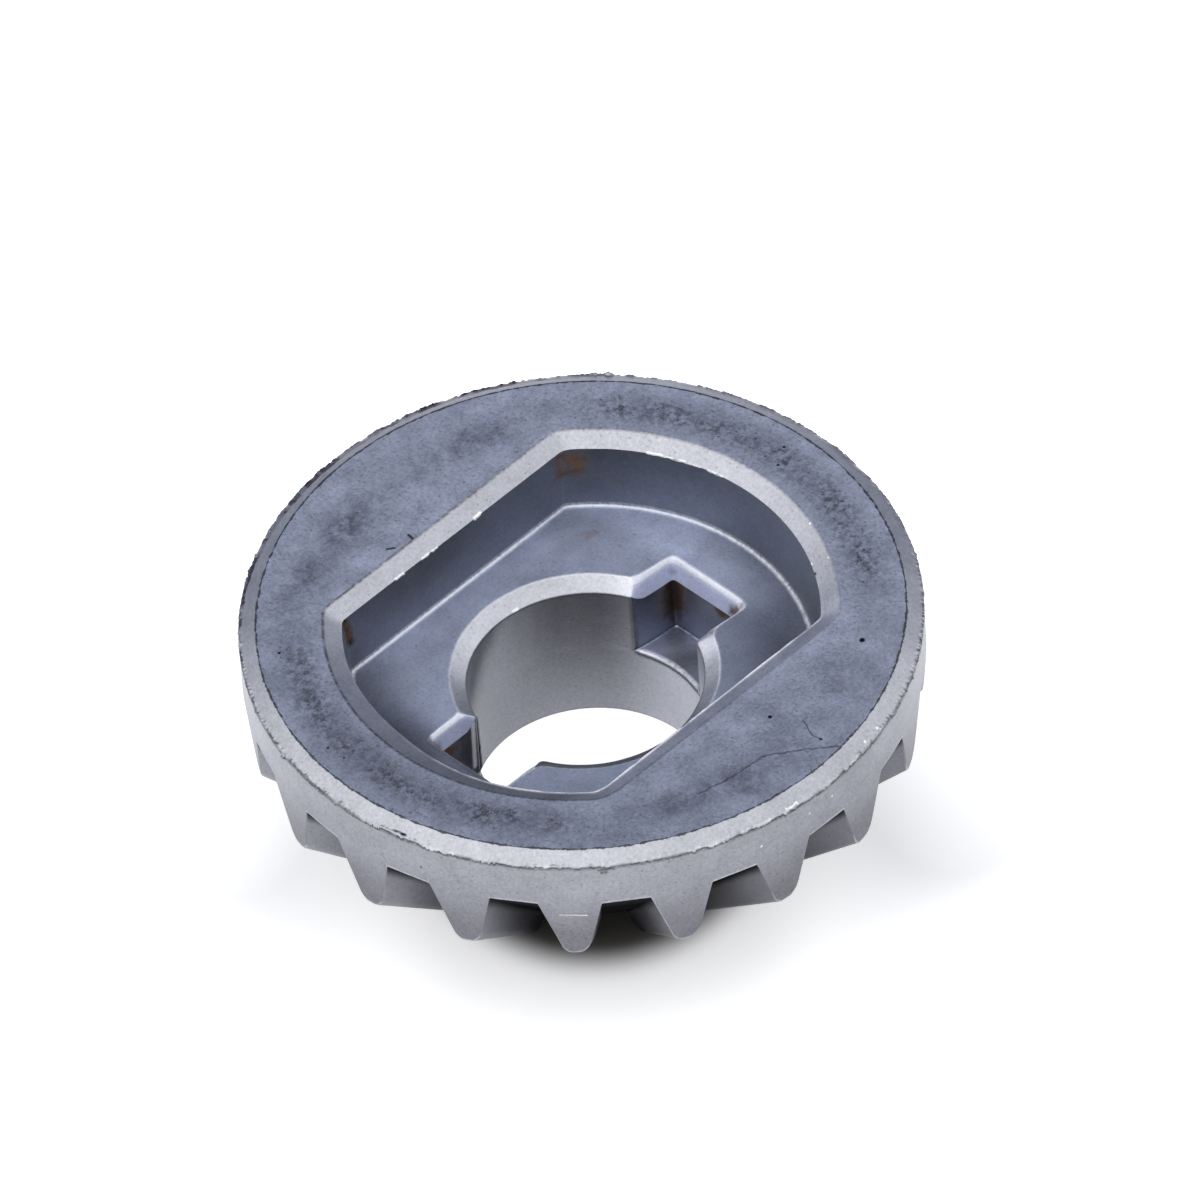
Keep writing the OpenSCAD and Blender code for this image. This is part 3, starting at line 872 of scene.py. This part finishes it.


# Painted light and shade: slow change of tone along a direction on the part: direction, start and end in
# millimetres, tone at each
paintedLightFades = {
    "backFace": [((0.82, 0.57, 0), -18.0, 6.0, 0.95, 1.04), ((-0.3, 0.95, 0), 13.0, 19.0, 1.0, 0.95),
                 ((0, -1, 0), 13.6, 16.0, 1.09, 1.0), ((-0.95, -0.3, 0), 14.0, 19.5, 1.0, 0.92)],
    "recessFloor": [((1, 0, 0), 10.0, 12.6, 0.95, 1.58), ((0, 1, 0), 0.0, 5.5, 0.79, 1.02),
                    ((0, 1, 0), 8.5, 11.5, 1.0, 1.5)],
    "recessWall": [((1, 0, 0), 11.0, 14.5, 0.95, 1.12), ((0.5, -0.866, 0), 8.0, 14.0, 1.0, 1.35)],
    "toothSkin": [((-0.2, -0.98, 0), 10.0, 19.0, 1.0, 0.66)],
    "rimSkin": [((0, 0, 1), 10.0, 17.0, 0.58, 1.0), ((1, 0, 0), -20.0, 2.0, 1.03, 0.94)],
    "bore": [((0, 0, 1), 1.5, 12.5, 0.76, 1.0), ((0.906, -0.423, 0), 3.6, 8.2, 1.0, 1.72)],
    "boreChamfer": [((-0.87, 0.5, 0), 3.0, 7.6, 1.12, 1.25), ((0.906, -0.423, 0), 4.0, 7.8, 1.0, 1.6)],
    "slotMouth": [((-1, 0, 0), 11.1, 11.45, 1.0, 0.3)],
    "slotBevel": [((-1, 0, 0), 5.0, 7.0, 1.0, 0.86), ((-1, 0, 0), 11.0, 11.3, 1.0, 0.4)],
    "slotFloor": [((0.54, 0.84, 0), 4.5, 6.2, 0.5, 1.4)],
    "mouthChamfer": [((0, -1, 0), 10.8, 12.2, 1.0, 1.4), ((0.94, -0.342, 0), 13.0, 17.0, 1.0, 1.05),
                     ((-0.94, -0.342, 0), 12.5, 16.0, 1.0, 0.8)],
}

# The roots of the teeth are in shade, and so are their inner parts
rootShade = (1.075, 1.128, 1.0, 0.15)  # slopes from the apex, and the tone at each
depthShade = (16.5, 22.3, 0.4, 1.0)  # radii, and the tone at each

# Soft shade beside the walls, and smudges on the back face: path in millimetres, reach, darkest tone
shadeStrokes = {
    "backFace": [
        ([(-12.8, 15.0), (-9.5, 16.4), (-4.5, 17.6), (-1.5, 18.0)], 2.6, 0.78),
        ([(-5.2, 17.4), (-3.4, 17.7)], 1.8, 0.74),
        ([(2.8, 18.0), (6.5, 16.8), (11.5, 15.4)], 2.6, 0.80),
        ([(-18.2, 5.2), (-19.2, 0.0)], 2.2, 0.83),
        ([(-11.2, -15.4), (-8.4, -17.2), (-4.0, -19.0), (0.5, -19.6)], 2.2, 0.81),
        ([(8.0, -15.6), (8.4, -18.8)], 2.0, 0.85),
    ],
    "bore": [([(-1.4, 7.88, 12.6), (-4.0, 6.93, 10.2)], 2.2, 0.55)],
    "recessFloor": [
        ([(-13.9, -1.5), (-13.9, 5.0), (-11.2, 10.6)], 5.0, 0.34),
        ([(15.6, -3.0), (12.0, -8.5), (9.0, -11.0)], 7.0, 0.57),
    ],
}

# What the finishes share
steel = {
    "mottle": (0.36, 0.64, 0.35, 1.4),  # noise that breaks up the smudges on the back face
    "patches": (0.32, 0.58, 0.4, 1.0),  # and the rust on the recess wall
    "poreBand": (2.0, 0.4),  # more pores in the porous ring, and fewer outside it
    "shadeEdge": (1.0, 0.4),  # softness and raggedness of the shade and the smudges
    "wornMatte": 0.6,  # worn edges, with their painted sheen, scatter light
    "cloudRough": 0.16,
    "bumpHeight": 0.04,  # millimetres
}


# Masks along a path, one for each of its lines
def strokeMasks(place, finish, path, width, soft, rough):
    if finish in flatHeights:
        path = [(*spot, flatHeights[finish]) for spot in path]
    for start, end in zip(path, path[1:] or path):
        sockets = {"Place": place, "From": start, "To": end, "Width": width, "Soft": soft, "Ragged": rough}
        yield make("Group", sockets, node_tree=groups["stroke"]).outputs["Mask"]


def steelMaterial(name, finish):
    look = looks[finish]
    mat = bpy.data.materials.new(name)
    mat.use_nodes = True
    openTree(mat.node_tree)
    placed = make("Group", node_tree=groups["place"]).outputs
    place = placed["Place"]
    grain = make("Group", {"Place": place}, node_tree=groups["grain"]).outputs
    edge = make("Group", {"Place": place}, node_tree=groups["edge"]).outputs
    mottled = patchy = 1.0
    if finish == "backFace":
        mottled = fade(noise(place, 1.1, 5.0, 0.7), *steel["mottle"])
    if finish == "recessWall":
        patchy = fade(noise(place, 1.5, 4.0, 0.65), *steel["patches"])

    # Tone of the bare metal, with painted light and shade
    tone = linear(minus(grain["Fine"], 0.5), 2 * look["fine"], 1.0)
    tone = linear(minus(grain["Cloud"], 0.5), 2 * look["cloud"], tone)
    for direction, start, end, low, high in paintedLightFades.get(finish, []):
        tone = times(tone, fade(dot(place, direction), start, end, low, high))
    for path, reach, dark in shadeStrokes.get(finish, []):
        for mask in strokeMasks(place, finish, path, reach / 2, *steel["shadeEdge"]):
            shaded = times(tone, linear(times(mask, mottled), dark - 1.0, 1.0))
            tone = calc("MINIMUM", tone, shaded)
    if finish == "toothSkin":
        tone = times(tone, fade(placed["Cone"], *rootShade))
        tone = times(tone, fade(placed["Radius"], *depthShade))
    tone = times(tone, linear(grain["Speck"], -look["speck"], 1.0))

    # Pores, dark bands and flakes, then worn edges with painted sheen, and soiled edges
    colour = scaled(look["colour"], tone)
    poreMask = times(grain["Pore"], look["pore"])
    if finish == "backFace":
        band = bandMask(placed, grain)
        colour = blend(band, colour, faceBand["shade"])
        poreMask = times(poreMask, linear(band, *steel["poreBand"]), clamp=True)
    colour = blend(poreMask, colour, shades["pore"])
    if finish in ("backFace", "rimChamfer"):
        colour = blend(lineMask(placed), colour, faceBand["lineShade"])
    if finish == "rimChamfer":
        colour = blend(flakeMask(placed), colour, flakes["shade"])
    worn = times(edge["Worn"], look["worn"])
    colour = blend(worn, colour, shades["worn"])
    colour = blend(times(edge["Soiled"], look["soil"]), colour, shades["soil"])
    matte = linear(worn, steel["wornMatte"], look["matte"], clamp=True)
    if finish == "toothSkin":
        matte = calc("MAXIMUM", matte, fade(placed["Cone"], *rootShade[:2]))

    for tint, listed in marks.get(finish, {}).items():
        tintColour, cover, scatter = tints[tint]
        if tint in patchyTints:
            cover = times(patchy, cover)
        for stroke in (mask for mark in listed for mask in strokeMasks(place, finish, *mark)):
            mask = times(stroke, cover)
            colour = blend(mask, colour, tintColour)
            matte = linear(minus(scatter, matte), mask, matte)
    cloudRough = steel["cloudRough"]
    bump = {"Strength": look["bump"], "Distance": steel["bumpHeight"] * mm, "Height": grain["Height"]}
    plug(mat.node_tree.nodes["Principled BSDF"], {
        "Base Color": colour,
        "Metallic": minus(1.0, matte),
        "Roughness": linear(grain["Cloud"], cloudRough, look["rough"] - cloudRough / 2),
        "Specular IOR Level": 0.0,
        "Normal": make("Bump", bump).outputs["Normal"],
    })
    return mat


for finish in finishNames:
    gearSkin.data.materials.append(steelMaterial(finish, finish))
for finish in ("rimSkin", "rimChamfer"):
    rimEdge.data.materials.append(steelMaterial(finish + "Edge", finish))
print("materials:", len(bpy.data.materials))

for piece in (gearSkin, rimEdge):
    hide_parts(nodeName)
    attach(piece, "root")

# Camera of the photograph: a long lens, slightly rolled
view = {
    "azimuth": -43.16,
    "elevation": 45.73,
    "roll": 4.03,
    "distance": 1.829,
    "focalPixels": 27318,
    "framePixels": 1200,
    "facePixel": (580.8, 613.2),  # where the middle of the back face shows
}


# Direction at an elevation, turned from the camera's side: 180 is away from the camera, 90 is to its right
def around(elevation, turn):
    up, side = math.radians(elevation), math.radians(view["azimuth"] + turn)
    return Vector((math.sin(side) * math.cos(up), -math.cos(side) * math.cos(up), math.sin(up)))


def placeCamera():
    roll = math.radians(view["roll"])
    back = around(view["elevation"], 0)
    right = around(0, 90)
    down = -back.cross(right)
    imageRight = math.cos(roll) * right + math.sin(roll) * down
    imageDown = math.cos(roll) * down - math.sin(roll) * right
    data = bpy.data.cameras.new("photoCamera")
    data.sensor_width = 36
    data.lens = view["focalPixels"] / view["framePixels"] * data.sensor_width
    data.clip_end = 20
    camera = addObject("photoCamera", data)
    target = Vector((0, 0, highCorner.z))
    middle, focal, distance = view["framePixels"] / 2, view["focalPixels"], view["distance"]
    offX, offY = ((p - middle) / focal * distance for p in view["facePixel"])
    camera.matrix_world = Matrix((imageRight, -imageDown, back)).transposed().to_4x4()
    camera.location = target + back * distance - imageRight * offX - imageDown * offY
    bpy.context.scene.camera = camera


placeCamera()

# Studio: a bright dome, a brighter patch overhead, dim low down before the part,
# and a dim blue backdrop behind it. Reaches are in millimetres.
studio = {
    "dome": (1.20, 1.21, 1.24),
    "patch": (1.65, 1.65, 1.65),
    "patchAt": (72, -72),
    "patchEdge": (0.78, 0.99),
    "low": (0.35, 0.35, 0.36),
    "lowHeight": (0.14, 0.64),
    "lowEdge": (0.25, 0.75),
    "backdrop": (0.29, 0.325, 0.42),
    "backdropEdge": (0.50, 0.74),
    "floorHalf": 3.0,  # half its width, in metres
    "floorRough": 0.9,
    "floor": (0.62, 0.62, 0.625),
    "floorSeen": (0.97, 0.97, 0.975),  # the floor as it is seen
    "contactShadow": (0.10, 0.095, 0.085),  # painted contact shadow: the floor's colour under the teeth
    "contactReach": (12.5, 15.9),  # radii in millimetres
    "contactStretch": 1.25,  # it is narrower across the view
    "glow": (12.9, 16.9),  # painted light: the open floor glows lighter from here out
    "glowLevel": (0.4, 1.0),  # how much lighter near the gear, and far from it
    "glowReach": (18.0, 42.0),
    "sideShade": (0.95, 0.65),  # painted shade: less of the glow to the right and to the left
    "sideReach": (11.0, 25.0),
    "sideMiddle": (5.0, -5.0),
    "sideEnd": (26.0, 39.0),
    "sideBack": (6.0, 28.0),
    "sideFront": (-17.0, -4.0, 0.3, 1.0),
    "sideFill": 0.08,  # painted light: more of the glow close beside the gear
    "sideFillReach": (9.0, 16.0),
    "sideFillEnd": (18.0, 24.0),
    "mirroredGlow": (0.06, 0.5),  # painted reflection: how far metal shows that white glow, before and behind the part
    "mirroredReach": (45.0, 90.0),
    "farSide": (-16.0, 10.0),
    "boreGlow": (9.3, 9.8),  # painted pool of light: the floor below the bore glows white up to here
    "boreShade": (-2.0, 6.0),  # its near part lies in the bore's shade, as the bore wall shows it
}


def lightSky():
    world = bpy.data.worlds.new("studio")
    bpy.context.scene.world = world
    world.use_nodes = True
    openTree(world.node_tree)
    toward = make("TexCoord").outputs["Generated"]
    patch = fade(dot(toward, around(*studio["patchAt"])), *studio["patchEdge"])
    behind = fade(dot(toward, around(0, 180)), *studio["backdropEdge"])
    near = fade(dot(toward, around(0, 0)), *studio["lowEdge"])
    low = fade(make("SeparateXYZ", {0: toward}).outputs[2], *studio["lowHeight"], 1.0, 0.0)
    sky = blend(patch, studio["dome"], studio["patch"])
    sky = blend(times(near, low), sky, studio["low"])
    sky = blend(behind, sky, studio["backdrop"])
    plug(world.node_tree.nodes["Background"], {"Color": sky})


def layFloor():
    half = studio["floorHalf"]
    floorMesh = bpy.data.meshes.new("floor")
    corners = [(-half, -half, 0), (half, -half, 0), (half, half, 0), (-half, half, 0)]
    floorMesh.from_pydata(corners, [], [(0, 1, 2, 3)])
    floor = addObject("floor", floorMesh)
    floorMat = bpy.data.materials.new("paleFloor")
    floorMat.use_nodes = True
    openTree(floorMat.node_tree)
    rays = make("LightPath").outputs
    direct = rays["Is Camera Ray"]
    mirrored = calc("MAXIMUM", rays["Is Glossy Ray"], rays["Is Transmission Ray"])
    seen = calc("MAXIMUM", direct, mirrored)
    place = scaled(make("TexCoord").outputs["Object"], 1 / mm)
    fromAxis = vector("LENGTH", place)
    behind = dot(place, around(0, 180))
    toRight = dot(place, around(0, 90))
    aside = calc("ABSOLUTE", toRight)
    across = times(toRight, studio["contactStretch"])
    stretched = calc("SQRT", linear(across, across, times(behind, behind)))
    # The floor as it is seen, darkened under the teeth by a painted contact shadow
    pale = blend(fade(stretched, *studio["contactReach"]), studio["contactShadow"], studio["floorSeen"])
    # Painted light and shade on the floor: it glows in the open and below the bore, less at the sides, more
    # close beside the gear
    mirroredWhite = times(fade(behind, *studio["farSide"], *studio["mirroredGlow"]),
                          fade(fromAxis, *studio["mirroredReach"], 1.0, 0.0))
    sideShade = times(fade(aside, *studio["sideReach"]),
                      fade(fromAxis, *studio["sideEnd"], 1.0, 0.0),
                      fade(toRight, *studio["sideMiddle"], *studio["sideShade"]),
                      fade(behind, *studio["sideBack"], 1.0, 0.0),
                      fade(behind, *studio["sideFront"]))
    sideFill = times(fade(aside, *studio["sideFillReach"]),
                     fade(fromAxis, *studio["sideFillEnd"], studio["sideFill"], 0.0))
    directWhite = times(direct, fade(fromAxis, *studio["glowReach"], *studio["glowLevel"]))
    directWhite = linear(directWhite, minus(1.0, sideShade), times(sideFill, direct))
    openWhite = times(fade(stretched, *studio["glow"]),
                      calc("MAXIMUM", directWhite, mirroredWhite))
    borePaintedLight = times(fade(fromAxis, *studio["boreGlow"], 1.0, 0.0),
                      calc("MAXIMUM", direct, fade(behind, *studio["boreShade"])))
    plug(floorMat.node_tree.nodes["Principled BSDF"], {
        "Base Color": blend(seen, studio["floor"], pale),
        "Roughness": studio["floorRough"],
        "Emission Color": (1, 1, 1, 1),
        "Emission Strength": times(seen, calc("ADD", openWhite, borePaintedLight)),
    })
    floorMesh.materials.append(floorMat)


bpy.context.scene.view_settings.view_transform = "Standard"
lightSky()
layFloor()
print("studio ready")
